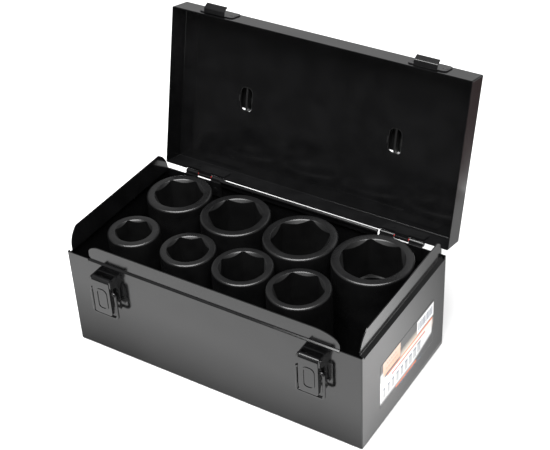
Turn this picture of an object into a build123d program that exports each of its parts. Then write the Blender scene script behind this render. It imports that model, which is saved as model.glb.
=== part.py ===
from build123d import *
import os
from math import cos, radians, sin, sqrt

os.makedirs("parts", exist_ok=True)

# Everything is in millimetres. The origin is the centre of the case's underside,
# X runs right along the front, Y runs to the hinges and Z is up.

# ---- Case ----
CASE_LENGTH = 243.0
CASE_DEPTH = 125.0
CASE_HEIGHT = 82.5
SHEET = 0.8
FOLD_RADIUS = 1.0
SIDE_X = CASE_LENGTH / 2
REAR_Y = CASE_DEPTH / 2
FRONT_Y = -REAR_Y
REAR_INNER_Y = REAR_Y - SHEET

# Flaps that stand up inside the closed lid
FLAP_FOOT_Z = 77.0
FLAP_BEND_Z = 80.6
FLAP_RELIEF = 0.3
JOGGLE_HEIGHT = 2.2
JOGGLE_FOLD = 0.9
LIP_FOLD = 0.5
LIP_BEND_Z = 81.4
LIP_SHELF_Z = 82.3
SIDE_FLAP_X = 118.7
SIDE_FLAP_TOP_X = 119.7
SIDE_FLAP_TOP_Z = 99.8
SIDE_FLAP_HALF = 59.8
SIDE_FLAP_TOP_HALF = 51.3
SIDE_FLAP_SHOULDER_Z = 84.9
FRONT_FLAP_Y = -61.0
FRONT_FLAP_TOP_Z = 93.8
FRONT_FLAP_LEFT = -102.0
FRONT_FLAP_LEFT_CORNER = (10.0, 6.0)
FRONT_FLAP_RIGHT = 104.4
FRONT_FLAP_RIGHT_CORNER = (19.9, 8.8)
REAR_LIP_Y = 60.0
REAR_LIP_TOP_Z = 87.2
REAR_HEM_RADIUS = 1.4
REAR_LIP_HALF = 67.9

# ---- Lid, modelled closed and then swung open ----
LID_LENGTH = 244.2
LID_WIDTH = 125.8
LID_FRONT_Y = REAR_Y - LID_WIDTH
LID_GAP = 0.3
LID_RIM_Z = CASE_HEIGHT + LID_GAP
LID_DEPTH = 18.5
LID_TOP_Z = LID_RIM_Z + LID_DEPTH
LID_OPEN_ANGLE = 102.8
SLOT_X = 63.2
SLOT_Y = 0.5
SLOT_LENGTH = 19.6
SLOT_WIDTH = 11.3
SLOT_CORNER = 4.6

# ---- Hinges ----
HINGE_Y = REAR_Y + 2.0
HINGE_Z = 84.2
HINGE_X = 85.4
HINGE_WIDTH = 34.2
KNUCKLE_RADIUS = 1.9
KNUCKLE_BORE = 1.0
KNUCKLE_SPLIT = 0.9
KNUCKLE_LENGTH = (HINGE_WIDTH - 2 * KNUCKLE_SPLIT) / 3
KNUCKLE_PITCH = KNUCKLE_LENGTH + KNUCKLE_SPLIT
LEAF = 1.0
LEAF_REACH = 11.5
STRAP = 0.9
CASE_STRAP_Z = CASE_HEIGHT + 0.1
LID_STRAP_Z = CASE_HEIGHT + 0.2
CASE_LEAF_NOTCH_Z = CASE_HEIGHT - 0.3
LID_LEAF_NOTCH_Z = CASE_HEIGHT + 1.5
NOTCH_WIDTH = HINGE_WIDTH + 0.6
NOTCH_DEPTH = 1.5
HINGE_PIN_RADIUS = 0.95
HINGE_PIN_HEAD = (1.5, 0.4)
HINGE_RIVET_SPACING = 21.0
LEAF_CORNER = 2.0
CASE_RIVET_Z = 76.5
LID_RIVET_Z = 89.0

# ---- Rivets ----
RIVET_SHANK = 1.5
RIVET_HOLE = 1.55
RIVET_HEAD = 2.3
RIVET_DOME = 0.9
RIVET_LOW_DOME = 0.15
RIVET_ROUNDING = 0.75
RIVET_FLUSH = 0.3

# ---- Latches ----
LATCH_X = 86.0
LATCH_BASE_HALF = 8.8
LATCH_BASE_SHEET = 1.0
LATCH_BASE_BOTTOM = 46.0
LATCH_BASE_TOP = 76.0
EAR_BOTTOM = 67.0
EAR_REACH_Y = -71.3
EAR_CORNER = 0.5
EAR_CHIN = 3.0
EAR_FOOT = 6.0
PIVOT_Y = -69.2
PIVOT_Z = 73.6
LATCH_PIN_RADIUS = 1.5
LATCH_BORE = 1.55
LATCH_PIN_HEAD = (2.1, 0.4)
LATCH_RIVET_Z = (51.0, 60.0)
LEVER_HALF = 7.5
LEVER_SHEET = 1.0
LEVER_FACE_Y = -71.7
LEVER_BOTTOM = 44.6
LEVER_CORNER = 2.2
CURL_RADIUS = 2.5
FLANGE_DEPTH = 3.8
FLANGE_TOE = 1.2
FLANGE_TAPER = 12.0
RIDGE_WIDTH = 9.6
RIDGE_HEIGHT = 18.6
RIDGE_LINE = 1.3
RIDGE_RISE = 0.45
RIDGE_Z = 58.0
BAIL_WIRE = 1.1
BAIL_Y = -69.4
BAIL_PIVOT_Z = 64.5
BAIL_LENGTH = 22.2
BAIL_HALF = 10.6
BAIL_END = 5.9
BAIL_BORE = 1.15
BAIL_BEND = 2.1

# ---- Catches on the lid ----
CATCH_WIDTH = 29.4
CATCH_HEIGHT = 13.5
CATCH_RISE = 3.3
CATCH_CORNER = 3.0
CATCH_RIVET_OFFSET = 11.6
HOOK_WIDTH = 17.6
HOOK_Z = 84.2
HOOK_REACH = 4.5
HOOK_TIP = (2.9, 3.8)
HOOK_FOLD = 1.1

# ---- Handle ----
BRACKET_HALF_WIDTH = 10.0
BRACKET_FRONT = -13.0
BRACKET_REAR = 11.0
BRACKET_HEIGHT = 8.5
BRACKET_WALL = 3.0
BRACKET_ROOF = 2.0
BRACKET_EDGE = 1.6
RIB = 1.4
NECK_CLEARANCE = 0.15
NECK_WALL = 0.6
NECK_RECESS = 0.2
BRACKET_CORNER = 3.0
CLIP_DEPTH = 0.6
CLIP_REACH = 0.6
CLIP_LENGTH = 5.0
HANDLE_PIVOT_Y = -6.5
HANDLE_PIVOT_RISE = 4.4
HANDLE_WIRE = 2.0
HANDLE_BORE = 2.05
HANDLE_HALF = 49.0
HANDLE_END = 58.6
HANDLE_DROP = 36.0
HANDLE_BEND = 2.6
GRIP_HALF = 40.0
GRIP_WIDTH = 15.0
GRIP_THICKNESS = 10.0
GRIP_EDGE = 1.5

# ---- Label on the right wall ----
LABEL_Y = (-37.0, 44.5)
LABEL_Z = (16.0, 56.0)
LABEL_THICKNESS = 0.2
LABEL_CORNER = 1.5

# ---- Sockets: hexagon across flats, centre x, centre y, outside diameter, turn ----
SOCKETS = (
    (24, -86.2, -27.5, 38.8, 24.0),
    (27, -38.6, -26.9, 40.8, 26.0),
    (30, 6.6, -25.2, 44.3, 1.0),
    (32, 53.7, -27.5, 45.9, 16.0),
    (33, -84.1, 27.6, 49.7, 23.0),
    (36, -31.4, 24.2, 52.8, 20.0),
    (38, 24.8, 23.2, 55.0, 38.0),
    (41, 82.5, 25.1, 59.2, 2.5),
)
SOCKET_LENGTH = 90.0
SOCKET_RIM_CHAMFER = 2.0
SOCKET_FOOT_CHAMFER = 1.2
SOCKET_LEAD = 1.0
HEX_CLEARANCE = 0.2
HEX_DEPTH = 32.0
BORE_STEP = 1.5
DRIVE_SQUARE = 19.2
DRIVE_DEPTH = 24.0
DRIVE_WEB = 4.0
WEB_HOLE = 8.0
RING_GROOVE_Z = 12.0
RING_GROOVE_WIDTH = 5.0
RING_GROOVE_DEPTH = 1.6
DRIVE_PIN_HOLE = 2.6

SIDES = (("left", -1), ("right", 1))

# Places a closed-lid shape where it stands with the lid open
LID_OPEN = (
    Location((0, HINGE_Y, HINGE_Z), (-LID_OPEN_ANGLE, 0, 0))
    * Location((0, -HINGE_Y, -HINGE_Z))
)


# ---- Case body: folded box with a flap along the front and one on each end ----
with BuildPart() as side_flap:
    with BuildSketch(Plane.XZ):
        with BuildLine():
            FilletPolyline(
                (SIDE_X, FLAP_FOOT_Z),
                (SIDE_X, FLAP_BEND_Z),
                (SIDE_FLAP_X, FLAP_BEND_Z + JOGGLE_HEIGHT),
                (SIDE_FLAP_TOP_X, SIDE_FLAP_TOP_Z),
                radius=JOGGLE_FOLD,
            )
            offset(amount=SHEET, side=Side.LEFT)
        make_face()
    extrude(amount=SIDE_FLAP_HALF, both=True)
    with BuildSketch(Plane.YZ):
        with BuildLine():
            Polyline(
                (-SIDE_FLAP_HALF, SIDE_FLAP_SHOULDER_Z),
                (-SIDE_FLAP_HALF, FLAP_FOOT_Z),
                (SIDE_FLAP_HALF, FLAP_FOOT_Z),
                (SIDE_FLAP_HALF, SIDE_FLAP_SHOULDER_Z),
            )
            TangentArc(
                (SIDE_FLAP_HALF, SIDE_FLAP_SHOULDER_Z),
                (SIDE_FLAP_TOP_HALF, SIDE_FLAP_TOP_Z),
                tangent=(0, 1),
            )
            Line(
                (SIDE_FLAP_TOP_HALF, SIDE_FLAP_TOP_Z),
                (-SIDE_FLAP_TOP_HALF, SIDE_FLAP_TOP_Z),
            )
            TangentArc(
                (-SIDE_FLAP_HALF, SIDE_FLAP_SHOULDER_Z),
                (-SIDE_FLAP_TOP_HALF, SIDE_FLAP_TOP_Z),
                tangent=(0, 1),
            )
        make_face()
    extrude(amount=CASE_LENGTH, mode=Mode.INTERSECT)

with BuildPart() as front_flap:
    with BuildSketch(Plane.YZ.offset(FRONT_FLAP_LEFT)):
        with BuildLine():
            FilletPolyline(
                (FRONT_Y, FLAP_FOOT_Z),
                (FRONT_Y, LIP_BEND_Z),
                (FRONT_FLAP_Y, LIP_SHELF_Z),
                (FRONT_FLAP_Y, FRONT_FLAP_TOP_Z),
                radius=LIP_FOLD,
            )
            offset(amount=SHEET, side=Side.RIGHT)
        make_face()
    extrude(amount=FRONT_FLAP_RIGHT - FRONT_FLAP_LEFT)
    left_x = FRONT_FLAP_LEFT + FRONT_FLAP_LEFT_CORNER[0]
    left_z = FRONT_FLAP_TOP_Z - FRONT_FLAP_LEFT_CORNER[1]
    right_x = FRONT_FLAP_RIGHT - FRONT_FLAP_RIGHT_CORNER[0]
    right_z = FRONT_FLAP_TOP_Z - FRONT_FLAP_RIGHT_CORNER[1]
    with BuildSketch(Plane.XZ):
        with BuildLine():
            Polyline(
                (FRONT_FLAP_LEFT, left_z),
                (FRONT_FLAP_LEFT, FLAP_FOOT_Z),
                (FRONT_FLAP_RIGHT, FLAP_FOOT_Z),
                (FRONT_FLAP_RIGHT, right_z),
            )
            EllipticalCenterArc((right_x, right_z), *FRONT_FLAP_RIGHT_CORNER, start_angle=0, arc_size=90)
            Line((right_x, FRONT_FLAP_TOP_Z), (left_x, FRONT_FLAP_TOP_Z))
            EllipticalCenterArc((left_x, left_z), *FRONT_FLAP_LEFT_CORNER, start_angle=90, arc_size=90)
        make_face()
    extrude(amount=CASE_DEPTH, mode=Mode.INTERSECT)

with BuildPart() as rear_lip:
    with BuildSketch(Plane.YZ):
        with BuildLine():
            FilletPolyline(
                (REAR_Y, FLAP_FOOT_Z),
                (REAR_Y, LIP_BEND_Z),
                (REAR_LIP_Y, LIP_SHELF_Z),
                (REAR_LIP_Y, REAR_LIP_TOP_Z),
                radius=LIP_FOLD,
            )
            offset(amount=SHEET, side=Side.LEFT)
        make_face()
        with Locations((REAR_LIP_Y - SHEET / 2, REAR_LIP_TOP_Z)):
            Circle(REAR_HEM_RADIUS)
    extrude(amount=REAR_LIP_HALF, both=True)

with BuildPart() as case_body:
    with BuildSketch():
        RectangleRounded(CASE_LENGTH, CASE_DEPTH, FOLD_RADIUS)
    extrude(amount=CASE_HEIGHT)
    fillet(case_body.faces().sort_by(Axis.Z)[0].edges(), radius=FOLD_RADIUS)
    offset(amount=-SHEET, openings=case_body.faces().sort_by(Axis.Z)[-1])
    relief_height = CASE_HEIGHT - FLAP_BEND_Z
    with BuildSketch(Plane.XY.offset(FLAP_BEND_Z)):
        with Locations((-SIDE_X, 0), (SIDE_X, 0)):
            Rectangle(4 * SHEET, 2 * (SIDE_FLAP_HALF + FLAP_RELIEF))
        with Locations(((FRONT_FLAP_LEFT + FRONT_FLAP_RIGHT) / 2, FRONT_Y)):
            Rectangle(FRONT_FLAP_RIGHT - FRONT_FLAP_LEFT + 2 * FLAP_RELIEF, 4 * SHEET)
        with Locations((0, REAR_Y)):
            Rectangle(2 * (REAR_LIP_HALF + FLAP_RELIEF), 4 * SHEET)
    extrude(amount=2 * relief_height, mode=Mode.SUBTRACT)
    add(side_flap.part)
    add(mirror(side_flap.part, about=Plane.YZ, mode=Mode.PRIVATE))
    add(front_flap.part)
    add(rear_lip.part)
    for hinge_x in (-HINGE_X, HINGE_X):
        for side_step in (-1, 1):
            with Locations((hinge_x + side_step * HINGE_RIVET_SPACING / 2, REAR_Y, CASE_RIVET_Z)):
                Cylinder(RIVET_HOLE, 4 * SHEET, rotation=(90, 0, 0), mode=Mode.SUBTRACT)
    for latch_x in (-LATCH_X, LATCH_X):
        for rivet_z in LATCH_RIVET_Z:
            with Locations((latch_x, FRONT_Y, rivet_z)):
                Cylinder(RIVET_HOLE, 4 * SHEET, rotation=(90, 0, 0), mode=Mode.SUBTRACT)
case_body.part.label = "case_body"
export_step(case_body.part, "parts/case_body.step")


# ---- Lid shell: shallow folded pan with two handle slots and two hinge notches ----
with BuildPart() as lid_closed:
    with BuildSketch(Plane.XY.offset(LID_RIM_Z)):
        with Locations((0, (REAR_Y + LID_FRONT_Y) / 2)):
            RectangleRounded(LID_LENGTH, LID_WIDTH, FOLD_RADIUS)
    extrude(amount=LID_DEPTH)
    fillet(lid_closed.faces().sort_by(Axis.Z)[-1].edges(), radius=FOLD_RADIUS)
    offset(amount=-SHEET, openings=lid_closed.faces().sort_by(Axis.Z)[0])
    with BuildSketch(Plane.XY.offset(LID_TOP_Z - 2 * SHEET)):
        with Locations((-SLOT_X, SLOT_Y), (SLOT_X, SLOT_Y)):
            RectangleRounded(SLOT_WIDTH, SLOT_LENGTH, SLOT_CORNER)
    extrude(amount=4 * SHEET, mode=Mode.SUBTRACT)
    with BuildSketch(Plane.XY.offset(LID_RIM_Z)):
        with Locations((-HINGE_X, REAR_Y), (HINGE_X, REAR_Y)):
            Rectangle(NOTCH_WIDTH, 4 * SHEET)
    extrude(amount=NOTCH_DEPTH, mode=Mode.SUBTRACT)
    for hinge_x in (-HINGE_X, HINGE_X):
        for side_step in (-1, 1):
            with Locations((hinge_x + side_step * HINGE_RIVET_SPACING / 2, REAR_Y, LID_RIVET_Z)):
                Cylinder(RIVET_HOLE, 4 * SHEET, rotation=(90, 0, 0), mode=Mode.SUBTRACT)
    catch_z = LID_RIM_Z + CATCH_RISE + CATCH_HEIGHT / 2
    for latch_x in (-LATCH_X, LATCH_X):
        for side_step in (-1, 1):
            with Locations((latch_x + side_step * CATCH_RIVET_OFFSET, LID_FRONT_Y, catch_z)):
                Cylinder(RIVET_HOLE, 4 * SHEET, rotation=(90, 0, 0), mode=Mode.SUBTRACT)

with BuildPart() as lid_shell:
    with Locations(LID_OPEN):
        add(lid_closed.part)
lid_shell.part.label = "lid_shell"
export_step(lid_shell.part, "parts/lid_shell.step")


# ---- Hinges: leaves on the inner faces, straps over the wall, three knuckles ----
def case_leaf(hinge_x):
    """Case half of a hinge: plate, two straps and the two outer knuckles."""
    plate_bottom = CASE_HEIGHT - LEAF_REACH
    with BuildPart() as leaf:
        with BuildSketch(Plane.YZ.offset(hinge_x)):
            with Locations((REAR_INNER_Y - LEAF / 2, (plate_bottom + CASE_LEAF_NOTCH_Z) / 2)):
                Rectangle(LEAF, CASE_LEAF_NOTCH_Z - plate_bottom)
        extrude(amount=HINGE_WIDTH / 2, both=True)
        fillet(leaf.edges().filter_by(Axis.Y).sort_by(Axis.Z)[:2], radius=LEAF_CORNER)
        for side_step in (-1, 1):
            with BuildSketch(Plane.YZ.offset(hinge_x + side_step * KNUCKLE_PITCH)):
                with Locations((REAR_INNER_Y - LEAF / 2, CASE_HEIGHT - 1)):
                    Rectangle(LEAF, 2 * (CASE_STRAP_Z + STRAP - CASE_HEIGHT + 1))
                strap_length = HINGE_Y - REAR_INNER_Y + LEAF
                with Locations((HINGE_Y - strap_length / 2, CASE_STRAP_Z + STRAP / 2)):
                    Rectangle(strap_length, STRAP)
                with Locations((HINGE_Y, HINGE_Z)):
                    Circle(KNUCKLE_RADIUS)
            extrude(amount=KNUCKLE_LENGTH / 2, both=True)
        with Locations((hinge_x, HINGE_Y, HINGE_Z)):
            Cylinder(KNUCKLE_BORE, 2 * HINGE_WIDTH, rotation=(0, 90, 0), mode=Mode.SUBTRACT)
        for side_step in (-1, 1):
            with Locations((hinge_x + side_step * HINGE_RIVET_SPACING / 2, REAR_INNER_Y, CASE_RIVET_Z)):
                Cylinder(RIVET_HOLE, 4 * LEAF, rotation=(90, 0, 0), mode=Mode.SUBTRACT)
    return leaf


def lid_leaf(hinge_x):
    """Lid half of a hinge, closed: plate, one strap and the middle knuckle."""
    plate_top = LID_STRAP_Z + LEAF_REACH
    with BuildPart() as leaf:
        with BuildSketch(Plane.YZ.offset(hinge_x)):
            with Locations((REAR_INNER_Y - LEAF / 2, (plate_top + LID_LEAF_NOTCH_Z) / 2)):
                Rectangle(LEAF, plate_top - LID_LEAF_NOTCH_Z)
        extrude(amount=HINGE_WIDTH / 2, both=True)
        fillet(leaf.edges().filter_by(Axis.Y).sort_by(Axis.Z)[-2:], radius=LEAF_CORNER)
        with BuildSketch(Plane.YZ.offset(hinge_x)):
            with Locations((REAR_INNER_Y - LEAF / 2, LID_STRAP_Z + 1)):
                Rectangle(LEAF, 2)
            strap_length = HINGE_Y - REAR_INNER_Y + LEAF
            with Locations((HINGE_Y - strap_length / 2, LID_STRAP_Z + STRAP / 2)):
                Rectangle(strap_length, STRAP)
            with Locations((HINGE_Y, HINGE_Z)):
                Circle(KNUCKLE_RADIUS)
        extrude(amount=KNUCKLE_LENGTH / 2, both=True)
        with Locations((hinge_x, HINGE_Y, HINGE_Z)):
            Cylinder(KNUCKLE_BORE, 2 * HINGE_WIDTH, rotation=(0, 90, 0), mode=Mode.SUBTRACT)
        for side_step in (-1, 1):
            with Locations((hinge_x + side_step * HINGE_RIVET_SPACING / 2, REAR_INNER_Y, LID_RIVET_Z)):
                Cylinder(RIVET_HOLE, 4 * LEAF, rotation=(90, 0, 0), mode=Mode.SUBTRACT)
    return leaf


for side, sign in SIDES:
    hinge_leaf_case = case_leaf(sign * HINGE_X)
    hinge_leaf_case.part.label = f"hinge_leaf_case_{side}"
    export_step(hinge_leaf_case.part, f"parts/hinge_leaf_case_{side}.step")

    leaf_closed = lid_leaf(sign * HINGE_X)
    with BuildPart() as hinge_leaf_lid:
        with Locations(LID_OPEN):
            add(leaf_closed.part)
    hinge_leaf_lid.part.label = f"hinge_leaf_lid_{side}"
    export_step(hinge_leaf_lid.part, f"parts/hinge_leaf_lid_{side}.step")

    with BuildPart() as hinge_pin:
        with Locations((sign * HINGE_X, HINGE_Y, HINGE_Z)):
            Cylinder(HINGE_PIN_RADIUS, HINGE_WIDTH, rotation=(0, 90, 0))
        head_offset = HINGE_WIDTH / 2 + HINGE_PIN_HEAD[1] / 2
        for side_step in (-1, 1):
            with Locations((sign * HINGE_X + side_step * head_offset, HINGE_Y, HINGE_Z)):
                Cylinder(*HINGE_PIN_HEAD, rotation=(0, 90, 0))
    hinge_pin.part.label = f"hinge_pin_{side}"
    export_step(hinge_pin.part, f"parts/hinge_pin_{side}.step")


# ---- Rivets: a shank, a domed head outside and a flush head inside ----
def wall_rivet(x, z, wall_y, grip, outward, dome=RIVET_DOME):
    """Rivet along Y whose domed head sits at wall_y, facing the outward sign."""
    with BuildPart() as rivet:
        with Locations((x, wall_y - outward * (grip + RIVET_FLUSH) / 2, z)):
            Cylinder(RIVET_SHANK, grip + RIVET_FLUSH, rotation=(90, 0, 0))
        with Locations((x, wall_y - outward * (grip + RIVET_FLUSH / 2), z)):
            Cylinder(RIVET_HEAD, RIVET_FLUSH, rotation=(90, 0, 0))
        with Locations((x, wall_y + outward * dome / 2, z)):
            Cylinder(RIVET_HEAD, dome, rotation=(90, 0, 0))
        dome_edge = rivet.edges().filter_by(GeomType.CIRCLE).sort_by(Axis.Y)
        fillet(dome_edge[-1] if outward > 0 else dome_edge[0], radius=RIVET_ROUNDING * dome)
    return rivet


with BuildPart() as hinge_rivets_case:
    for side, sign in SIDES:
        for side_step in (-1, 1):
            rivet_x = sign * HINGE_X + side_step * HINGE_RIVET_SPACING / 2
            add(wall_rivet(rivet_x, CASE_RIVET_Z, REAR_Y, SHEET + LEAF, 1).part)
hinge_rivets_case.part.label = "hinge_rivets_case"
export_step(hinge_rivets_case.part, "parts/hinge_rivets_case.step")

with BuildPart() as hinge_rivets_lid:
    with Locations(LID_OPEN):
        for side, sign in SIDES:
            for side_step in (-1, 1):
                rivet_x = sign * HINGE_X + side_step * HINGE_RIVET_SPACING / 2
                add(wall_rivet(rivet_x, LID_RIVET_Z, REAR_Y, SHEET + LEAF, 1).part)
hinge_rivets_lid.part.label = "hinge_rivets_lid"
export_step(hinge_rivets_lid.part, "parts/hinge_rivets_lid.step")

with BuildPart() as latch_base_rivets:
    for side, sign in SIDES:
        for rivet_z in LATCH_RIVET_Z:
            rivet = wall_rivet(
                sign * LATCH_X, rivet_z, FRONT_Y - LATCH_BASE_SHEET, SHEET + LATCH_BASE_SHEET, -1
            )
            add(rivet.part)
latch_base_rivets.part.label = "latch_base_rivets"
export_step(latch_base_rivets.part, "parts/latch_base_rivets.step")

with BuildPart() as catch_rivets:
    with Locations(LID_OPEN):
        for side, sign in SIDES:
            for side_step in (-1, 1):
                rivet_x = sign * LATCH_X + side_step * CATCH_RIVET_OFFSET
                rivet = wall_rivet(
                    rivet_x, catch_z, LID_FRONT_Y - SHEET, 2 * SHEET, -1, RIVET_LOW_DOME
                )
                add(rivet.part)
catch_rivets.part.label = "catch_rivets"
export_step(catch_rivets.part, "parts/catch_rivets.step")


# ---- Latches: base with two ears, pin, channel-shaped lever and wire bail ----
def latch_base(centre_x):
    """U-shaped base: a plate on the wall with an ear each side for the pin."""
    base_front = FRONT_Y - LATCH_BASE_SHEET
    with BuildPart() as base:
        with BuildSketch(Plane.XZ.offset(-FRONT_Y)):
            with Locations((centre_x, (LATCH_BASE_BOTTOM + LATCH_BASE_TOP) / 2)):
                Rectangle(2 * LATCH_BASE_HALF, LATCH_BASE_TOP - LATCH_BASE_BOTTOM)
        extrude(amount=LATCH_BASE_SHEET)
        for side_step in (-1, 1):
            ear_x = centre_x + side_step * (LATCH_BASE_HALF - LATCH_BASE_SHEET / 2)
            with BuildSketch(Plane.YZ.offset(ear_x)):
                with BuildLine():
                    FilletPolyline(
                        (FRONT_Y, LATCH_BASE_TOP),
                        (EAR_REACH_Y, LATCH_BASE_TOP),
                        (EAR_REACH_Y, EAR_BOTTOM + EAR_CHIN),
                        (base_front - LATCH_BASE_SHEET, EAR_BOTTOM),
                        (base_front, EAR_BOTTOM - EAR_FOOT),
                        (FRONT_Y, EAR_BOTTOM - EAR_FOOT),
                        radius=EAR_CORNER,
                    )
                    Line((FRONT_Y, EAR_BOTTOM - EAR_FOOT), (FRONT_Y, LATCH_BASE_TOP))
                make_face()
            extrude(amount=LATCH_BASE_SHEET / 2, both=True)
        with Locations((centre_x, PIVOT_Y, PIVOT_Z)):
            Cylinder(LATCH_BORE, 3 * LATCH_BASE_HALF, rotation=(0, 90, 0), mode=Mode.SUBTRACT)
        for rivet_z in LATCH_RIVET_Z:
            with Locations((centre_x, FRONT_Y, rivet_z)):
                Cylinder(RIVET_HOLE, 4 * LATCH_BASE_SHEET, rotation=(90, 0, 0), mode=Mode.SUBTRACT)
    return base


def latch_lever(centre_x):
    """Pressed lever: face with a ridge, side flanges and a curl round the pin."""
    flange_y = LEVER_FACE_Y + LEVER_SHEET + FLANGE_DEPTH
    with BuildPart() as lever:
        with BuildSketch(Plane.XZ.offset(-LEVER_FACE_Y)):
            with Locations((centre_x, (LEVER_BOTTOM + PIVOT_Z) / 2)):
                Rectangle(2 * LEVER_HALF, PIVOT_Z - LEVER_BOTTOM)
        extrude(amount=-LEVER_SHEET)
        for side_step in (-1, 1):
            flange_x = centre_x + side_step * (LEVER_HALF - LEVER_SHEET / 2)
            with BuildSketch(Plane.YZ.offset(flange_x)):
                with BuildLine():
                    Polyline(
                        (LEVER_FACE_Y, LEVER_BOTTOM),
                        (LEVER_FACE_Y + LEVER_SHEET + FLANGE_TOE, LEVER_BOTTOM),
                        (flange_y, LEVER_BOTTOM + FLANGE_TAPER),
                        (flange_y, PIVOT_Z - LEVER_SHEET),
                        (LEVER_FACE_Y, PIVOT_Z - LEVER_SHEET),
                        close=True,
                    )
                make_face()
            extrude(amount=LEVER_SHEET / 2, both=True)
        fillet(lever.edges().filter_by(Axis.Y).sort_by(Axis.Z)[:2], radius=LEVER_CORNER)
        with BuildSketch(Plane.YZ.offset(centre_x)):
            with Locations((PIVOT_Y, PIVOT_Z)):
                Circle(CURL_RADIUS)
        extrude(amount=LEVER_HALF, both=True)
        with Locations((centre_x, PIVOT_Y, PIVOT_Z)):
            Cylinder(LATCH_BORE, 3 * LEVER_HALF, rotation=(0, 90, 0), mode=Mode.SUBTRACT)
        with Locations((centre_x, BAIL_Y, BAIL_PIVOT_Z)):
            Cylinder(BAIL_BORE, 3 * LEVER_HALF, rotation=(0, 90, 0), mode=Mode.SUBTRACT)
        with BuildSketch(Plane.XZ.offset(-LEVER_FACE_Y)):
            with Locations((centre_x, RIDGE_Z)):
                RectangleRounded(RIDGE_WIDTH, RIDGE_HEIGHT, 3 * RIDGE_LINE)
                RectangleRounded(
                    RIDGE_WIDTH - 2 * RIDGE_LINE,
                    RIDGE_HEIGHT - 2 * RIDGE_LINE,
                    2 * RIDGE_LINE,
                    mode=Mode.SUBTRACT,
                )
        extrude(amount=RIDGE_RISE)
    return lever


def latch_bail(centre_x):
    """Wire bail hanging from the lever's flanges, with its ends turned inward."""
    bar_z = BAIL_PIVOT_Z - BAIL_LENGTH
    with BuildPart() as bail:
        with BuildLine(Plane.XZ.offset(-BAIL_Y)) as wire_path:
            FilletPolyline(
                (centre_x - BAIL_END, BAIL_PIVOT_Z),
                (centre_x - BAIL_HALF, BAIL_PIVOT_Z),
                (centre_x - BAIL_HALF, bar_z),
                (centre_x + BAIL_HALF, bar_z),
                (centre_x + BAIL_HALF, BAIL_PIVOT_Z),
                (centre_x + BAIL_END, BAIL_PIVOT_Z),
                radius=BAIL_BEND,
            )
        with BuildSketch(Plane(wire_path.line @ 0, z_dir=wire_path.line % 0)):
            Circle(BAIL_WIRE)
        sweep(path=wire_path.line)
    return bail


def lid_catch(centre_x):
    """Catch, closed: riveted plate with an upturned hook for the bail."""
    with BuildPart() as catch:
        with BuildSketch(Plane.XZ.offset(-LID_FRONT_Y)):
            with Locations((centre_x, catch_z)):
                RectangleRounded(CATCH_WIDTH, CATCH_HEIGHT, CATCH_CORNER)
        extrude(amount=SHEET)
        with BuildSketch(Plane.YZ.offset(centre_x)):
            with BuildLine():
                FilletPolyline(
                    (LID_FRONT_Y, catch_z),
                    (LID_FRONT_Y, HOOK_Z),
                    (LID_FRONT_Y - HOOK_REACH, HOOK_Z),
                    (LID_FRONT_Y - HOOK_REACH - HOOK_TIP[0], HOOK_Z + HOOK_TIP[1]),
                    radius=HOOK_FOLD,
                )
                offset(amount=SHEET, side=Side.RIGHT)
            make_face()
        extrude(amount=HOOK_WIDTH / 2, both=True)
        for side_step in (-1, 1):
            with Locations((centre_x + side_step * CATCH_RIVET_OFFSET, LID_FRONT_Y, catch_z)):
                Cylinder(RIVET_HOLE, 4 * SHEET, rotation=(90, 0, 0), mode=Mode.SUBTRACT)
    return catch


for side, sign in SIDES:
    base = latch_base(sign * LATCH_X)
    base.part.label = f"latch_base_{side}"
    export_step(base.part, f"parts/latch_base_{side}.step")

    lever = latch_lever(sign * LATCH_X)
    lever.part.label = f"latch_lever_{side}"
    export_step(lever.part, f"parts/latch_lever_{side}.step")

    bail = latch_bail(sign * LATCH_X)
    bail.part.label = f"latch_bail_{side}"
    export_step(bail.part, f"parts/latch_bail_{side}.step")

    with BuildPart() as latch_pin:
        with Locations((sign * LATCH_X, PIVOT_Y, PIVOT_Z)):
            Cylinder(LATCH_PIN_RADIUS, 2 * LATCH_BASE_HALF, rotation=(0, 90, 0))
        head_offset = LATCH_BASE_HALF + LATCH_PIN_HEAD[1] / 2
        for side_step in (-1, 1):
            with Locations((sign * LATCH_X + side_step * head_offset, PIVOT_Y, PIVOT_Z)):
                Cylinder(*LATCH_PIN_HEAD, rotation=(0, 90, 0))
    latch_pin.part.label = f"latch_pin_{side}"
    export_step(latch_pin.part, f"parts/latch_pin_{side}.step")

    catch_closed = lid_catch(sign * LATCH_X)
    with BuildPart() as catch:
        with Locations(LID_OPEN):
            add(catch_closed.part)
    catch.part.label = f"catch_{side}"
    export_step(catch.part, f"parts/catch_{side}.step")


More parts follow.
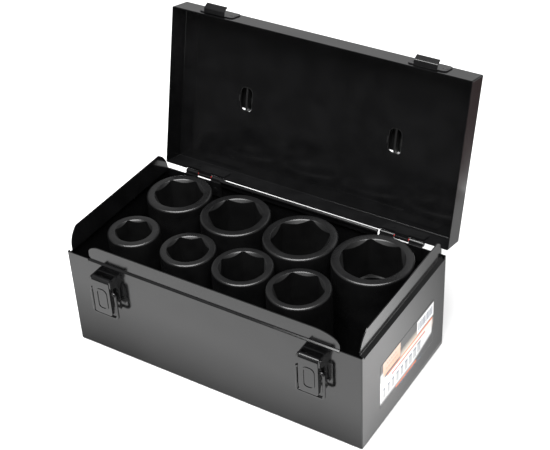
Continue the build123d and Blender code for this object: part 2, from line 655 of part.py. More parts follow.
# ---- Handle: two moulded brackets clipped in the slots, wire and grip ----
def handle_bracket(sign):
    """Bracket, closed: hollow cap with a rib, a neck in the slot and two clips."""
    centre_x = sign * SLOT_X
    length = BRACKET_REAR - BRACKET_FRONT
    middle_y = (BRACKET_REAR + BRACKET_FRONT) / 2
    cavity_front = BRACKET_FRONT + BRACKET_WALL
    neck_width = SLOT_WIDTH - 2 * NECK_CLEARANCE
    neck_length = SLOT_LENGTH - 2 * NECK_CLEARANCE
    neck_bottom = LID_TOP_Z - SHEET + NECK_RECESS
    clip_bottom = LID_TOP_Z - SHEET - CLIP_DEPTH
    with BuildPart() as bracket:
        with BuildSketch(Plane.XY.offset(LID_TOP_Z)):
            with Locations((centre_x, middle_y)):
                RectangleRounded(2 * BRACKET_HALF_WIDTH, length, BRACKET_CORNER)
        extrude(amount=BRACKET_HEIGHT)
        fillet(bracket.faces().sort_by(Axis.Z)[-1].edges(), radius=BRACKET_EDGE)
        with BuildSketch(Plane.XY.offset(neck_bottom)):
            with Locations((centre_x, SLOT_Y)):
                RectangleRounded(neck_width, neck_length, SLOT_CORNER)
        extrude(amount=LID_TOP_Z - neck_bottom)
        with BuildSketch(Plane.XY.offset(LID_TOP_Z)):
            cavity_length = BRACKET_REAR - cavity_front + 1
            with Locations((centre_x, cavity_front + cavity_length / 2)):
                Rectangle(2 * (BRACKET_HALF_WIDTH - BRACKET_WALL), cavity_length)
        extrude(amount=BRACKET_HEIGHT - BRACKET_ROOF, mode=Mode.SUBTRACT)
        with BuildSketch(Plane.XY.offset(neck_bottom)):
            with Locations((centre_x, SLOT_Y)):
                RectangleRounded(
                    neck_width - 2 * NECK_WALL, neck_length - 2 * NECK_WALL, SLOT_CORNER - NECK_WALL
                )
        extrude(amount=LID_TOP_Z - neck_bottom + 1, mode=Mode.SUBTRACT)
        for side_step in (-1, 1):
            clip_x = centre_x + side_step * (neck_width - NECK_WALL) / 2
            with Locations((clip_x, SLOT_Y, (clip_bottom + LID_TOP_Z) / 2)):
                Box(NECK_WALL, CLIP_LENGTH, LID_TOP_Z - clip_bottom)
            with Locations((clip_x + side_step * CLIP_REACH / 2, SLOT_Y, clip_bottom + CLIP_DEPTH / 2)):
                Box(NECK_WALL + CLIP_REACH, CLIP_LENGTH, CLIP_DEPTH)
        with BuildSketch(Plane.XY.offset(LID_TOP_Z)):
            with Locations((centre_x, (cavity_front + BRACKET_REAR) / 2)):
                Rectangle(RIB, BRACKET_REAR - cavity_front)
        extrude(amount=BRACKET_HEIGHT - BRACKET_ROOF)
        bore_x = centre_x - sign * (BRACKET_HALF_WIDTH - BRACKET_WALL / 2)
        with Locations((bore_x, HANDLE_PIVOT_Y, LID_TOP_Z + HANDLE_PIVOT_RISE)):
            Cylinder(HANDLE_BORE, 2 * BRACKET_WALL, rotation=(0, 90, 0), mode=Mode.SUBTRACT)
    return bracket


for side, sign in SIDES:
    bracket_closed = handle_bracket(sign)
    with BuildPart() as bracket:
        with Locations(LID_OPEN):
            add(bracket_closed.part)
    bracket.part.label = f"handle_bracket_{side}"
    export_step(bracket.part, f"parts/handle_bracket_{side}.step")

# The handle hangs straight down from its pivot while the lid is open
pivot_run = HANDLE_PIVOT_Y - HINGE_Y
pivot_rise = LID_TOP_Z + HANDLE_PIVOT_RISE - HINGE_Z
open_cos = cos(radians(-LID_OPEN_ANGLE))
open_sin = sin(radians(-LID_OPEN_ANGLE))
HANDLE_Y = HINGE_Y + pivot_run * open_cos - pivot_rise * open_sin
HANDLE_Z = HINGE_Z + pivot_run * open_sin + pivot_rise * open_cos
GRIP_Z = HANDLE_Z - HANDLE_DROP

with BuildPart() as handle_wire:
    with BuildLine(Plane.XZ.offset(-HANDLE_Y)) as wire_path:
        FilletPolyline(
            (-HANDLE_END, HANDLE_Z),
            (-HANDLE_HALF, HANDLE_Z),
            (-HANDLE_HALF, GRIP_Z),
            (HANDLE_HALF, GRIP_Z),
            (HANDLE_HALF, HANDLE_Z),
            (HANDLE_END, HANDLE_Z),
            radius=HANDLE_BEND,
        )
    with BuildSketch(Plane(wire_path.line @ 0, z_dir=wire_path.line % 0)):
        Circle(HANDLE_WIRE)
    sweep(path=wire_path.line)
handle_wire.part.label = "handle_wire"
export_step(handle_wire.part, "parts/handle_wire.step")

with BuildPart() as handle_grip:
    with BuildSketch(Plane.YZ):
        with Locations((HANDLE_Y, GRIP_Z)):
            SlotOverall(GRIP_WIDTH, GRIP_THICKNESS, rotation=90)
    extrude(amount=GRIP_HALF, both=True)
    fillet(handle_grip.faces().filter_by(Axis.X).edges(), radius=GRIP_EDGE)
    with Locations((0, HANDLE_Y, GRIP_Z)):
        Cylinder(HANDLE_BORE, 3 * GRIP_HALF, rotation=(0, 90, 0), mode=Mode.SUBTRACT)
handle_grip.part.label = "handle_grip"
export_step(handle_grip.part, "parts/handle_grip.step")


# ---- Label sheet stuck on the right wall ----
with BuildPart() as label_sheet:
    with BuildSketch(Plane.YZ.offset(SIDE_X)):
        with Locations((sum(LABEL_Y) / 2, sum(LABEL_Z) / 2)):
            RectangleRounded(LABEL_Y[1] - LABEL_Y[0], LABEL_Z[1] - LABEL_Z[0], LABEL_CORNER)
    extrude(amount=LABEL_THICKNESS)
label_sheet.part.label = "label_sheet"
export_step(label_sheet.part, "parts/label_sheet.step")


# ---- Sockets: deep impact sockets standing on their drive ends ----
def socket(flats, x, y, diameter, turn):
    """Socket with a hexagon at the top and a square drive at the foot."""
    foot = SHEET
    top = foot + SOCKET_LENGTH
    web_top = foot + DRIVE_DEPTH + DRIVE_WEB
    corner_radius = (flats + HEX_CLEARANCE) / sqrt(3)
    bore_radius = (flats - BORE_STEP) / 2
    with BuildPart() as body:
        with BuildSketch(Plane.XY.offset(foot)):
            with Locations((x, y)):
                Circle(diameter / 2)
        extrude(amount=SOCKET_LENGTH)
        rims = body.edges().filter_by(GeomType.CIRCLE).sort_by(Axis.Z)
        chamfer(rims[-1], length=SOCKET_RIM_CHAMFER)
        chamfer(rims[0], length=SOCKET_FOOT_CHAMFER)
        with BuildSketch(Plane.XY.offset(top)):
            with Locations((x, y)):
                RegularPolygon(corner_radius, 6, rotation=turn)
        extrude(amount=-HEX_DEPTH, mode=Mode.SUBTRACT)
        mouth = corner_radius + SOCKET_LEAD
        cone_depth = mouth - bore_radius
        with Locations((x, y, top - cone_depth / 2)):
            Cone(bore_radius, mouth, cone_depth, mode=Mode.SUBTRACT)
        with BuildSketch(Plane.XY.offset(web_top)):
            with Locations((x, y)):
                Circle(bore_radius)
        extrude(amount=top - web_top, mode=Mode.SUBTRACT)
        with BuildSketch(Plane.XY.offset(foot)):
            with Locations((x, y)):
                Circle(WEB_HOLE)
        extrude(amount=SOCKET_LENGTH, mode=Mode.SUBTRACT)
        with BuildSketch(Plane.XY.offset(foot)):
            with Locations((x, y)):
                Rectangle(DRIVE_SQUARE, DRIVE_SQUARE, rotation=turn)
        extrude(amount=DRIVE_DEPTH, mode=Mode.SUBTRACT)
        with BuildSketch(Plane.XY.offset(foot + RING_GROOVE_Z - RING_GROOVE_WIDTH / 2)):
            with Locations((x, y)):
                Circle(diameter / 2 + 1)
                Circle(diameter / 2 - RING_GROOVE_DEPTH, mode=Mode.SUBTRACT)
        extrude(amount=RING_GROOVE_WIDTH, mode=Mode.SUBTRACT)
        with Locations((x, y, foot + RING_GROOVE_Z)):
            Cylinder(
                DRIVE_PIN_HOLE, diameter + 4, rotation=(0, 90, turn), mode=Mode.SUBTRACT
            )
    return body


for flats, x, y, diameter, turn in SOCKETS:
    body = socket(flats, x, y, diameter, turn)
    body.part.label = f"socket_{flats}"
    export_step(body.part, f"parts/socket_{flats}.step")
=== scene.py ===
from math import radians

import bpy
import numpy as np
from mathutils import Matrix, Vector


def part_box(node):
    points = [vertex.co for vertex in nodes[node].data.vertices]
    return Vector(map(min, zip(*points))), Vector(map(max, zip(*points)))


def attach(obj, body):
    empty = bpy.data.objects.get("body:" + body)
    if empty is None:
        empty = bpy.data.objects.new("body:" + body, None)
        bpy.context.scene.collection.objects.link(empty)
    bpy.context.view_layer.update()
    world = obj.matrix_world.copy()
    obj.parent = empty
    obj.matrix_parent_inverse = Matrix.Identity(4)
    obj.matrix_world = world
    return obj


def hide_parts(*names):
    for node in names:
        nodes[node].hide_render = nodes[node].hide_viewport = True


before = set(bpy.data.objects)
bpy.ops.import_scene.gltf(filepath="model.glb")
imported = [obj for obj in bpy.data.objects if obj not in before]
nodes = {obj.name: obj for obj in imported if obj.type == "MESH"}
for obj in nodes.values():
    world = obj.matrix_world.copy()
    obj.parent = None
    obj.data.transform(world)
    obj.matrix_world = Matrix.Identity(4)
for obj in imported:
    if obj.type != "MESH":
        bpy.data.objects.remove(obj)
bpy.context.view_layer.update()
MM = 0.001

# ---------------------------------------------------------------------------
# Camera
# A long lens above the front right corner, looking down into the open case.
# ---------------------------------------------------------------------------
camera_data = bpy.data.cameras.new("camera")
camera_data.lens = 85.07
camera_data.sensor_width = 36.0
camera_data.shift_y = 0.0364
camera = bpy.data.objects.new("camera", camera_data)
camera.location = (0.4207, -0.6099, 0.6476)
camera.rotation_euler = (0.9240, 0.0435, 0.5506)
bpy.context.scene.collection.objects.link(camera)
bpy.context.scene.camera = camera
bpy.context.scene.view_settings.view_transform = "Standard"

# ---------------------------------------------------------------------------
# Studio
# A wide pale sheet on the table, a big soft box overhead and a paler one behind.
# ---------------------------------------------------------------------------
world = bpy.data.worlds.new("studio")
world.use_nodes = True
world.node_tree.nodes["Background"].inputs["Color"].default_value = (1.0, 1.0, 1.0, 1.0)
world.node_tree.nodes["Background"].inputs["Strength"].default_value = 0.30
bpy.context.scene.world = world


def soft_box(name, place, target, size, watts):
    """A square area light at place, turned to face target."""
    data = bpy.data.lights.new(name, "AREA")
    data.shape = "RECTANGLE"
    data.size = size[0]
    data.size_y = size[1]
    data.energy = watts
    light = bpy.data.objects.new(name, data)
    aim = Vector(target) - Vector(place)
    light.matrix_world = Matrix.Translation(place) @ aim.to_track_quat("-Z", "Y").to_matrix().to_4x4()
    bpy.context.scene.collection.objects.link(light)
    return light


soft_box("soft_box_top", (0.1, -0.35, 1.5), (0.0, 0.0, 0.05), (1.3, 1.3), 62.0)
soft_box("soft_box_back", (-0.75, 1.6, 0.75), (0.0, 0.1, 0.1), (1.2, 0.9), 1.2)


def stage_card(name, low, high, colour, seen=True, height=-0.0003, shade=None):
    """A flat card lying under or round the case that belongs to the set, not to the
    object. One that isn't seen shows only in reflections. With shade = (start, per
    metre in x, per metre in y) its tone is start + x * first + y * second, kept
    between the darkest and the palest tone. That tone is a painted shadow on the floor."""
    darkest, palest = 0.3, 0.92
    corners = [(low[0], low[1], height), (high[0], low[1], height),
               (high[0], high[1], height), (low[0], high[1], height)]
    mesh = bpy.data.meshes.new(name)
    mesh.from_pydata(corners, [], [(0, 1, 2, 3)])
    card = bpy.data.objects.new(name, mesh)
    bpy.context.scene.collection.objects.link(card)
    paint = bpy.data.materials.new(name)
    paint.use_nodes = True
    tree = paint.node_tree
    shader = tree.nodes["Principled BSDF"]
    shader.inputs["Base Color"].default_value = (*colour, 1.0)
    shader.inputs["Roughness"].default_value = 0.9
    shader.inputs["Specular IOR Level"].default_value = 0.2
    if shade:
        coords = tree.nodes.new("ShaderNodeTexCoord")
        slope = tree.nodes.new("ShaderNodeVectorMath")
        slope.operation = "DOT_PRODUCT"
        slope.inputs[1].default_value = (shade[1], shade[2], 0.0)
        tone = tree.nodes.new("ShaderNodeMapRange")
        tone.inputs["From Min"].default_value = darkest - shade[0]
        tone.inputs["From Max"].default_value = palest - shade[0]
        tone.inputs["To Min"].default_value = darkest
        tone.inputs["To Max"].default_value = palest
        tree.links.new(coords.outputs["Object"], slope.inputs[0])
        tree.links.new(slope.outputs["Value"], tone.inputs["Value"])
        tree.links.new(tone.outputs["Result"], shader.inputs["Base Color"])
    mesh.materials.append(paint)
    card.visible_camera = seen
    card.visible_diffuse = seen
    card.visible_shadow = seen
    return card


stage_card("floor", (-4, -4), (4, 4), (0.92, 0.92, 0.92))
stage_card("flag_front", (-2.0, -3.0), (0.5, -0.17), (0.02, 0.02, 0.02), False, 0.0010)
stage_card("flag_right", (0.194, 0.186), (0.6, 0.7), (0.08, 0.055, 0.055), False, 0.0010)
# Painted shadow: two pale cards seen only in reflections, darker near the case, stand in for the floor's
# shadow round the case.
stage_card("painted_shadow_front", (-0.4, -0.17), (0.122, -0.0625), (0.9, 0.9, 0.9), False, 0.0005,
           (-0.33, 0.9, -12.0))
stage_card("painted_shadow_right", (0.123, -0.12), (0.32, 0.25), (0.9, 0.9, 0.9), False, 0.0005,
           (-0.16, 8.3, -6.0))

# ---------------------------------------------------------------------------
# Case and lid enamel
# Folded steel sheet, dipped and stoved in gloss black enamel with faint peel.
# ---------------------------------------------------------------------------


def add_node(tree, kind, **values):
    """A node of the given kind with its properties and unlinked inputs set."""
    node = tree.nodes.new(kind)
    for key, value in values.items():
        if hasattr(node, key):
            setattr(node, key, value)
        else:
            node.inputs[key.replace("_", " ")].default_value = value
    return node


def new_material(name):
    """An empty procedural material with its shader: (material, tree, shader)."""
    material = bpy.data.materials.new(name)
    material.use_nodes = True
    tree = material.node_tree
    return material, tree, tree.nodes["Principled BSDF"]


def object_noise(tree, scale, detail=3.0):
    """Noise over the piece's own Object coordinates, scale in cells per metre."""
    coords = add_node(tree, "ShaderNodeTexCoord")
    noise = add_node(tree, "ShaderNodeTexNoise", Scale=scale, Detail=detail)
    tree.links.new(coords.outputs["Object"], noise.inputs["Vector"])
    return noise


def varied(tree, noise, socket, low, high):
    """Drives a shader number between low and high by a noise."""
    span = add_node(tree, "ShaderNodeMapRange", From_Min=0.3, From_Max=0.7, To_Min=low, To_Max=high)
    tree.links.new(noise.outputs["Fac"], span.inputs["Value"])
    tree.links.new(span.outputs["Result"], socket)


def tinted(tree, noise, socket, dark, light):
    """Drives a shader colour between dark and light by a noise."""
    ramp = add_node(tree, "ShaderNodeValToRGB")
    ramp.color_ramp.elements[0].position = 0.35
    ramp.color_ramp.elements[0].color = (*dark, 1.0)
    ramp.color_ramp.elements[1].position = 0.65
    ramp.color_ramp.elements[1].color = (*light, 1.0)
    tree.links.new(noise.outputs["Fac"], ramp.inputs["Fac"])
    tree.links.new(ramp.outputs["Color"], socket)


def bumped(tree, noise, shader, height):
    """Raises the surface by a noise, height in metres."""
    bump = add_node(tree, "ShaderNodeBump", Strength=1.0, Distance=height)
    tree.links.new(noise.outputs["Fac"], bump.inputs["Height"])
    tree.links.new(bump.outputs["Normal"], shader.inputs["Normal"])


def gloss_enamel(name, dark, light, roughness, peel):
    """Stoved gloss enamel: faint mottle, slightly uneven gloss, orange peel."""
    material, tree, shader = new_material(name)
    tinted(tree, object_noise(tree, 60.0), shader.inputs["Base Color"], dark, light)
    varied(tree, object_noise(tree, 25.0), shader.inputs["Roughness"], *roughness)
    bumped(tree, object_noise(tree, 420.0, 1.0), shader, peel)
    shader.inputs["IOR"].default_value = 1.5
    return material


def finish_node(node, material):
    """Gives a CAD node its one finish."""
    nodes[node].data.materials.clear()
    nodes[node].data.materials.append(material)


case_enamel = gloss_enamel("case_enamel", (0.0035, 0.0035, 0.0037), (0.0055, 0.0055, 0.0058),
                           (0.10, 0.16), 2e-6)
finish_node("case_body", case_enamel)
finish_node("lid_shell", case_enamel)

# ---------------------------------------------------------------------------
# Hinges, latches and catches
# Small steel pressings, tumbled and then stoved in the same black enamel.
# ---------------------------------------------------------------------------
fitting_enamel = gloss_enamel("fitting_enamel", (0.004, 0.004, 0.0042), (0.007, 0.007, 0.0073),
                              (0.12, 0.2), 3e-6)
for side in ("left", "right"):
    for piece in ("hinge_leaf_case", "hinge_leaf_lid", "latch_base", "latch_lever", "latch_bail",
                  "latch_pin", "catch"):
        finish_node(f"{piece}_{side}", fitting_enamel)
for piece in ("hinge_rivets_case", "hinge_rivets_lid", "latch_base_rivets", "catch_rivets", "handle_wire"):
    finish_node(piece, fitting_enamel)

# ---------------------------------------------------------------------------
# Hinge pins
# Steel wire coloured dull red, seen only in the gaps between the knuckles. The
# peened heads at both ends took the black enamel with the rest of the hinge.
# ---------------------------------------------------------------------------


PIN_HEAD = 1.2 * MM


def red_pin(name, middle, half):
    """Dull red, lighter and darker by a noise, where X is within half of the
    middle, and black enamel beyond that."""
    material, tree, shader = new_material(name)
    noise = object_noise(tree, 900.0)
    ramp = add_node(tree, "ShaderNodeValToRGB")
    ramp.color_ramp.elements[0].color = (0.30, 0.008, 0.010, 1.0)
    ramp.color_ramp.elements[1].color = (0.52, 0.020, 0.022, 1.0)
    coords = add_node(tree, "ShaderNodeTexCoord")
    split = add_node(tree, "ShaderNodeSeparateXYZ")
    inside = add_node(tree, "ShaderNodeMath", operation="COMPARE")
    inside.inputs[1].default_value = middle
    inside.inputs[2].default_value = half
    mix = add_node(tree, "ShaderNodeMix", data_type="RGBA")
    mix.inputs["A"].default_value = (0.004, 0.004, 0.0042, 1.0)
    tree.links.new(noise.outputs["Fac"], ramp.inputs["Fac"])
    tree.links.new(coords.outputs["Object"], split.inputs["Vector"])
    tree.links.new(split.outputs["X"], inside.inputs[0])
    tree.links.new(inside.outputs["Value"], mix.inputs["Factor"])
    tree.links.new(ramp.outputs["Color"], mix.inputs["B"])
    tree.links.new(mix.outputs["Result"], shader.inputs["Base Color"])
    varied(tree, noise, shader.inputs["Roughness"], 0.35, 0.5)
    return material


for side in ("left", "right"):
    pin_low, pin_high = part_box(f"hinge_pin_{side}")
    middle = (pin_low[0] + pin_high[0]) / 2
    bare = (pin_high[0] - pin_low[0]) / 2 - PIN_HEAD
    finish_node(f"hinge_pin_{side}", red_pin(f"red_pin_{side}", middle, bare))

# ---------------------------------------------------------------------------
# Handle
# Black moulded brackets and grip, matt from the tool, on a steel wire.
# ---------------------------------------------------------------------------
moulded_black = gloss_enamel("moulded_black", (0.005, 0.005, 0.005), (0.009, 0.009, 0.009), (0.38, 0.5), 1e-5)
for piece in ("handle_bracket_left", "handle_bracket_right", "handle_grip"):
    finish_node(piece, moulded_black)

# ---------------------------------------------------------------------------
# Sockets
# Forged chrome-molybdenum steel with a matt black phosphate skin.
# ---------------------------------------------------------------------------
phosphate = gloss_enamel("phosphate", (0.003, 0.003, 0.0032), (0.006, 0.006, 0.0062),
                         (0.24, 0.34), 4e-6)
# Painted shade: the bore gets a copy of the phosphate with weaker specular and more roughness, so the hollow
# inside each socket reads darker.
bore_phosphate_painted_shade = gloss_enamel("bore_phosphate_painted_shade", (0.003, 0.003, 0.0031), (0.006, 0.006, 0.0061),
                              (0.42, 0.55), 8e-6)
bore_phosphate_painted_shade.node_tree.nodes["Principled BSDF"].inputs["Specular IOR Level"].default_value = 0.22

# Each socket by its size across flats in millimetres, and how far in degrees its
# hexagon happens to be turned where it stands.
SOCKET_TURNS = {24: 24.0, 27: 26.0, 30: 1.0, 32: 16.0, 33: 23.0, 36: 20.0, 38: 38.0, 41: 2.5}
SOCKET_COLUMNS = 240
CORNER_PER_FLATS = 0.566
BORE_REACH_PER_FLATS = 0.575
HEXAGON_SLACK = 0.2 * MM
HEXAGON_DEPTH = 32 * MM
BORE_UNDER_FLATS = 1.5 * MM
MOUTH_INSIDE_CORNER = 0.1 * MM
MOUTH_SLOPE = 0.9
RIM_ROUND = 1.7 * MM
LIP = 0.5 * MM
SHALLOW_STEP = 0.6 * MM
FOOT_CHAMFER = 1.2 * MM
GROOVE_HEIGHT = 12 * MM
GROOVE_HALF = 2.0 * MM
GROOVE_DEPTH = 1.6 * MM
GROOVE_LIP = (0.2 * MM, 0.35 * MM)
DRIVE_FLATS = 19.2 * MM
DRIVE_CORNER = 13.2 * MM
DRIVE_CHAMFER = 0.8 * MM
DRIVE_DEPTH = 24 * MM
WEB_RADIUS = 8 * MM
WEB_HEIGHT = 28 * MM


def closed_grid(name, points):
    """A mesh from a rows x columns grid of points that closes round both ways."""
    rows, columns = points.shape[:2]
    index = np.arange(rows * columns).reshape(rows, columns)
    right = np.roll(index, -1, axis=1)
    corners = [index, right, np.roll(right, -1, axis=0), np.roll(index, -1, axis=0)]
    faces = np.stack(corners, axis=-1).reshape(-1, 4)
    mesh = bpy.data.meshes.new(name)
    mesh.vertices.add(rows * columns)
    mesh.vertices.foreach_set("co", points.astype(np.float32).ravel())
    mesh.loops.add(faces.size)
    mesh.loops.foreach_set("vertex_index", faces.astype(np.int32).ravel())
    mesh.polygons.add(len(faces))
    mesh.polygons.foreach_set("loop_start", np.arange(0, faces.size, 4, dtype=np.int32))
    mesh.update(calc_edges=True)
    mesh.validate()
    return mesh


def new_piece(name, mesh, material, body, slot, *replaced, crease=35.0):
    """An object for a mesh, smooth but for creases, riding on its CAD body."""
    mesh.shade_smooth()
    mesh.set_sharp_from_angle(angle=radians(crease))
    piece = bpy.data.objects.new(name, mesh)
    bpy.context.scene.collection.objects.link(piece)
    mesh.materials.append(material)
    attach(piece, body)
    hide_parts(*replaced)
    return piece


def polygon_radius(angle, sides, flats, corner):
    """Distance from the centre to a regular polygon's wall at each angle: half the
    flats over the cosine of the angle to the nearest flat, but no more than corner."""
    step = 2 * np.pi / sides
    from_flat = np.mod(angle, step) - step / 2
    return np.minimum(flats / 2 / np.cos(from_flat), corner)


def socket_surface(low, high, flats, turn):
    """A socket as rings from the outside foot, up the wall, over the rim and down
    the bore to the foot again. Each ring has a height and, at every angle, a radius:
    a constant outside, and inside the larger of the hexagon and the mouth's cone."""
    centre = (low + high) / 2
    outer = (high[0] - low[0]) / 2
    foot, top = low[2], high[2]
    angle = np.linspace(0, 2 * np.pi, SOCKET_COLUMNS, endpoint=False)
    hexagon = polygon_radius(angle, 6, flats + HEXAGON_SLACK, flats * CORNER_PER_FLATS)
    square = polygon_radius(angle + np.pi / 4, 4, DRIVE_FLATS, DRIVE_CORNER)
    mouth = flats * CORNER_PER_FLATS - MOUTH_INSIDE_CORNER
    bore = (flats - BORE_UNDER_FLATS) / 2
    groove = foot + GROOVE_HEIGHT
    lip_height, lip_step = GROOVE_LIP
    bend = np.linspace(0, np.pi / 2, 9)
    ring = np.ones_like(angle)
    rows = []

    def add_ring(radius, height):
        rows.append(np.stack([radius * ring, height * ring], axis=-1))

    add_ring(outer - FOOT_CHAMFER, foot)
    add_ring(outer, foot + FOOT_CHAMFER)
    add_ring(outer, groove - GROOVE_HALF - 2.5 * lip_height)
    add_ring(outer - lip_step, groove - GROOVE_HALF - lip_height)
    add_ring(outer - GROOVE_DEPTH, groove - GROOVE_HALF)
    add_ring(outer - GROOVE_DEPTH, groove + GROOVE_HALF)
    add_ring(outer - lip_step, groove + GROOVE_HALF + lip_height)
    add_ring(outer, groove + GROOVE_HALF + 2.5 * lip_height)
    for height in np.linspace(groove + 10 * MM, top - RIM_ROUND - 4 * MM, 6):
        add_ring(outer, height)
    for turned in bend:
        add_ring(outer - RIM_ROUND * (1 - np.cos(turned)), top - RIM_ROUND * (1 - np.sin(turned)))
    add_ring((outer + mouth + LIP - RIM_ROUND) / 2, top)
    for turned in bend[:5]:
        add_ring(mouth + LIP * (1 - np.sin(turned)), top - LIP * 0.5 * (1 - np.cos(turned)))
    drop = (mouth - bore) * MOUTH_SLOPE
    for share in np.linspace(0.04, 1.0, 15):
        cone = mouth - share * (mouth - bore)
        add_ring(np.maximum(hexagon, cone), top - LIP * 0.5 - share * drop)
    for depth in np.linspace(HEXAGON_DEPTH / 4, HEXAGON_DEPTH - MM, 4):
        add_ring(hexagon, top - depth)
    add_ring(hexagon, top - HEXAGON_DEPTH)
    add_ring(bore, top - HEXAGON_DEPTH - SHALLOW_STEP)
    add_ring(bore, foot + WEB_HEIGHT + LIP)
    add_ring(bore - DRIVE_CHAMFER, foot + WEB_HEIGHT)
    add_ring(WEB_RADIUS, foot + WEB_HEIGHT)
    add_ring(WEB_RADIUS, foot + DRIVE_DEPTH)
    add_ring(square, foot + DRIVE_DEPTH)
    add_ring(square, foot + FOOT_CHAMFER)
    add_ring(square + DRIVE_CHAMFER, foot)
    grid = np.array(rows)
    direction = angle + radians(turn)
    x = centre[0] + grid[..., 0] * np.cos(direction)
    y = centre[1] + grid[..., 0] * np.sin(direction)
    return np.stack([x, y, grid[..., 1]], axis=-1)


def bore_faces(mesh, centre, reach, top):
    """The faces whose middle is within reach of the upright axis through centre and
    below top, as an array of 1 and 0."""
    middles = np.empty(3 * len(mesh.polygons))
    mesh.polygons.foreach_get("center", middles)
    middles = middles.reshape(-1, 3)
    from_axis = np.hypot(middles[:, 0] - centre[0], middles[:, 1] - centre[1])
    return ((from_axis < reach) & (middles[:, 2] < top)).astype(np.int32)


for flats, turn in SOCKET_TURNS.items():
    name = f"socket_{flats}"
    low, high = (np.array(corner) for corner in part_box(name))
    mesh = closed_grid(f"{name}_body", socket_surface(low, high, flats * MM, turn))
    new_piece(f"{name}_body", mesh, phosphate, name, "phosphate", name)
    # The faces inside the bore take the copy of the phosphate with painted shade.
    mesh.materials.append(bore_phosphate_painted_shade)
    reach = flats * BORE_REACH_PER_FLATS * MM
    inside = bore_faces(mesh, (low + high) / 2, reach, high[2] - SHALLOW_STEP)
    mesh.polygons.foreach_set("material_index", inside)

# ---------------------------------------------------------------------------
# Label
# Clear gloss film stuck on the right end of the case, printed with plain colour
# fields, stripes and rows of little socket shapes, and no lettering.
# ---------------------------------------------------------------------------
LABEL_CELLS = (300, 150)
LABEL_CORNER = 1.5 * MM
FILM_FACE = 0.08 * MM
FILM_WALL = 0.07 * MM
CLEAR_FILM = (0.004, 0.004, 0.0042)
PRINT_WHITE = (0.86, 0.86, 0.86)
PRINT_PEACH = (0.84, 0.42, 0.26)
PRINT_CREAM = (0.82, 0.72, 0.58)
PRINT_BLUSH = (0.85, 0.70, 0.62)
PRINT_ORANGE = (0.80, 0.17, 0.05)
PRINT_RED = (0.52, 0.05, 0.04)
PRINT_SLATE = (0.06, 0.09, 0.15)
PRINT_GREY = (0.28, 0.29, 0.31)


def soft_field(y, z, y_range, z_range, blur=0.25):
    """Cover of a printed field: 1 inside its two ranges in millimetres, 0 outside,
    and a straight ramp blur millimetres wide across each edge."""
    sides = (y - y_range[0], y_range[1] - y, z - z_range[0], z_range[1] - z)
    cover = np.ones_like(y)
    for inside in sides:
        cover = cover * np.clip(inside / blur + 0.5, 0.0, 1.0)
    return cover


def printed(colour, cover, ink):
    """Colour with ink laid over it, as much as cover says at each point."""
    return colour * (1 - cover[..., None]) + np.array(ink) * cover[..., None]


def label_artwork(y, z):
    """The film's colour at each point of the wall, y and z in millimetres: a white
    field that fades out downwards, a cream glow, a peach box, two stripes, a framed
    row of dark bars, a row of socket shapes, and an orange bar over slate bars."""
    colour = np.ones((*y.shape, 3)) * np.array(CLEAR_FILM)
    lower = 19.0 + 0.2 * np.maximum(y - 12.0, 0.0)
    white = np.clip((z - lower) / 3.5, 0, 1) * np.clip(41.0 - z, 0, 1) * np.clip((43.0 - y) / 2.0, 0, 1)
    colour = printed(colour, white, PRINT_WHITE)
    corner = soft_field(y, z, (-37.0, -30.5), (22.0, 47.0), 3.0)
    colour = printed(colour, corner, PRINT_WHITE)
    glow = soft_field(y, z, (-8.0, 20.0), (34.0, 45.0), 6.0) * 0.75
    colour = printed(colour, glow, PRINT_CREAM)
    warm = soft_field(y, z, (20.0, 43.5), (32.0, 40.5), 5.0) * 0.6
    colour = printed(colour, warm, PRINT_BLUSH)
    box = soft_field(y, z, (-33.0, -7.5), (43.0, 55.0), 1.0)
    fade = np.clip((z - 43.0) / 12.0, 0, 1)
    colour = printed(colour, box * (0.95 - 0.15 * fade), PRINT_PEACH)
    colour = printed(colour, box * 0.55 * fade, PRINT_CREAM)
    for height in (46.5, 50.5):
        bars = np.sin(y * 2.1 + height) > -0.2
        field = soft_field(y, z, (-29.0, -12.0), (height, height + 1.6), 0.8)
        colour = printed(colour, field * bars * 0.45, PRINT_RED)
    colour = printed(colour, soft_field(y, z, (-27.0, 42.5), (39.6, 41.0), 0.5), PRINT_ORANGE)
    colour = printed(colour, soft_field(y, z, (-20.0, 31.0), (35.2, 36.5), 0.4), PRINT_RED)
    frame_field = soft_field(y, z, (18.0, 44.0), (42.0, 54.0), 0.8)
    colour = printed(colour, frame_field, PRINT_WHITE)
    bars = np.mod(y, 2.25) < 1.3
    colour = printed(colour, soft_field(y, z, (20.0, 42.5), (44.5, 51.5), 0.5) * bars * 0.9, PRINT_SLATE)
    for number in range(9):
        centre = -31.0 + 6.6 * number
        half = 1.3 + 0.14 * number
        foot = 23.0 + 0.15 * max(centre - 12.0, 0.0)
        body = soft_field(y, z, (centre - half, centre + half), (foot, foot + 8.5), 0.8)
        mouth = soft_field(y, z, (centre - half, centre + half), (foot + 7.0, foot + 8.5), 0.5)
        light = soft_field(y, z, (centre - 0.3 * half, centre + 0.1 * half), (foot, foot + 8.5), 0.7)
        colour = printed(colour, body * 0.75, PRINT_GREY)
        colour = printed(colour, light * 0.35, PRINT_WHITE)
        colour = printed(colour, mouth * 0.75, PRINT_SLATE)
    colour = printed(colour, soft_field(y, z, (-14.0, 18.0), (17.8, 19.4), 0.6), PRINT_ORANGE)
    slate = soft_field(y, z, (-8.0, 28.0), (16.0, 17.4), 0.9) * (np.mod(y, 9.0) < 7.2)
    return printed(colour, slate * 0.8, PRINT_SLATE)


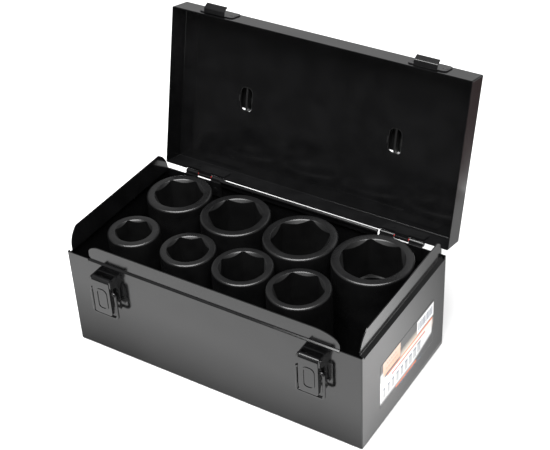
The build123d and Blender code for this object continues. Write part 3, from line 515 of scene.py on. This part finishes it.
def label_grid(low, high):
    """The film's outer face as a flat grid over y and z, its four corners rounded by
    drawing each point beyond the corner arc back on to it: (points, faces)."""
    across = np.linspace(low[1], high[1], LABEL_CELLS[0] + 1)
    up = np.linspace(low[2], high[2], LABEL_CELLS[1] + 1)
    y, z = np.meshgrid(across, up)
    near_y = np.clip(y, low[1] + LABEL_CORNER, high[1] - LABEL_CORNER)
    near_z = np.clip(z, low[2] + LABEL_CORNER, high[2] - LABEL_CORNER)
    away = np.hypot(y - near_y, z - near_z)
    shrink = np.minimum(1.0, LABEL_CORNER / np.maximum(away, 1e-9))
    y = near_y + (y - near_y) * shrink
    z = near_z + (z - near_z) * shrink
    points = np.stack([np.full_like(y, low[0] + FILM_FACE), y, z], axis=-1)
    index = np.arange(y.size).reshape(y.shape)
    faces = np.stack([index[:-1, :-1], index[:-1, 1:], index[1:, 1:], index[1:, :-1]], axis=-1)
    return points, faces.reshape(-1, 4)


label_low, label_high = (np.array(corner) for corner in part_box("label_sheet"))
label_points, label_faces = label_grid(label_low, label_high)
label_mesh = bpy.data.meshes.new("label_film")
label_mesh.from_pydata(label_points.reshape(-1, 3), [], label_faces)
artwork = label_artwork(label_points[..., 1] / MM, label_points[..., 2] / MM)
ink = label_mesh.attributes.new("ink", "FLOAT_COLOR", "POINT")
opaque = np.concatenate([artwork, np.ones_like(artwork[..., :1])], axis=-1)
ink.data.foreach_set("color", opaque.astype(np.float32).ravel())

film_material, film_tree, film_shader = new_material("label_film")
film_ink = add_node(film_tree, "ShaderNodeAttribute", attribute_name="ink")
film_tree.links.new(film_ink.outputs["Color"], film_shader.inputs["Base Color"])
varied(film_tree, object_noise(film_tree, 90.0), film_shader.inputs["Roughness"], 0.12, 0.2)
bumped(film_tree, object_noise(film_tree, 500.0, 1.0), film_shader, 1.5e-6)
label_piece = new_piece("label_film", label_mesh, film_material, "case", "label", "label_sheet")
film_wall = label_piece.modifiers.new("thickness", "SOLIDIFY")
film_wall.thickness = FILM_WALL
film_wall.offset = -1.0
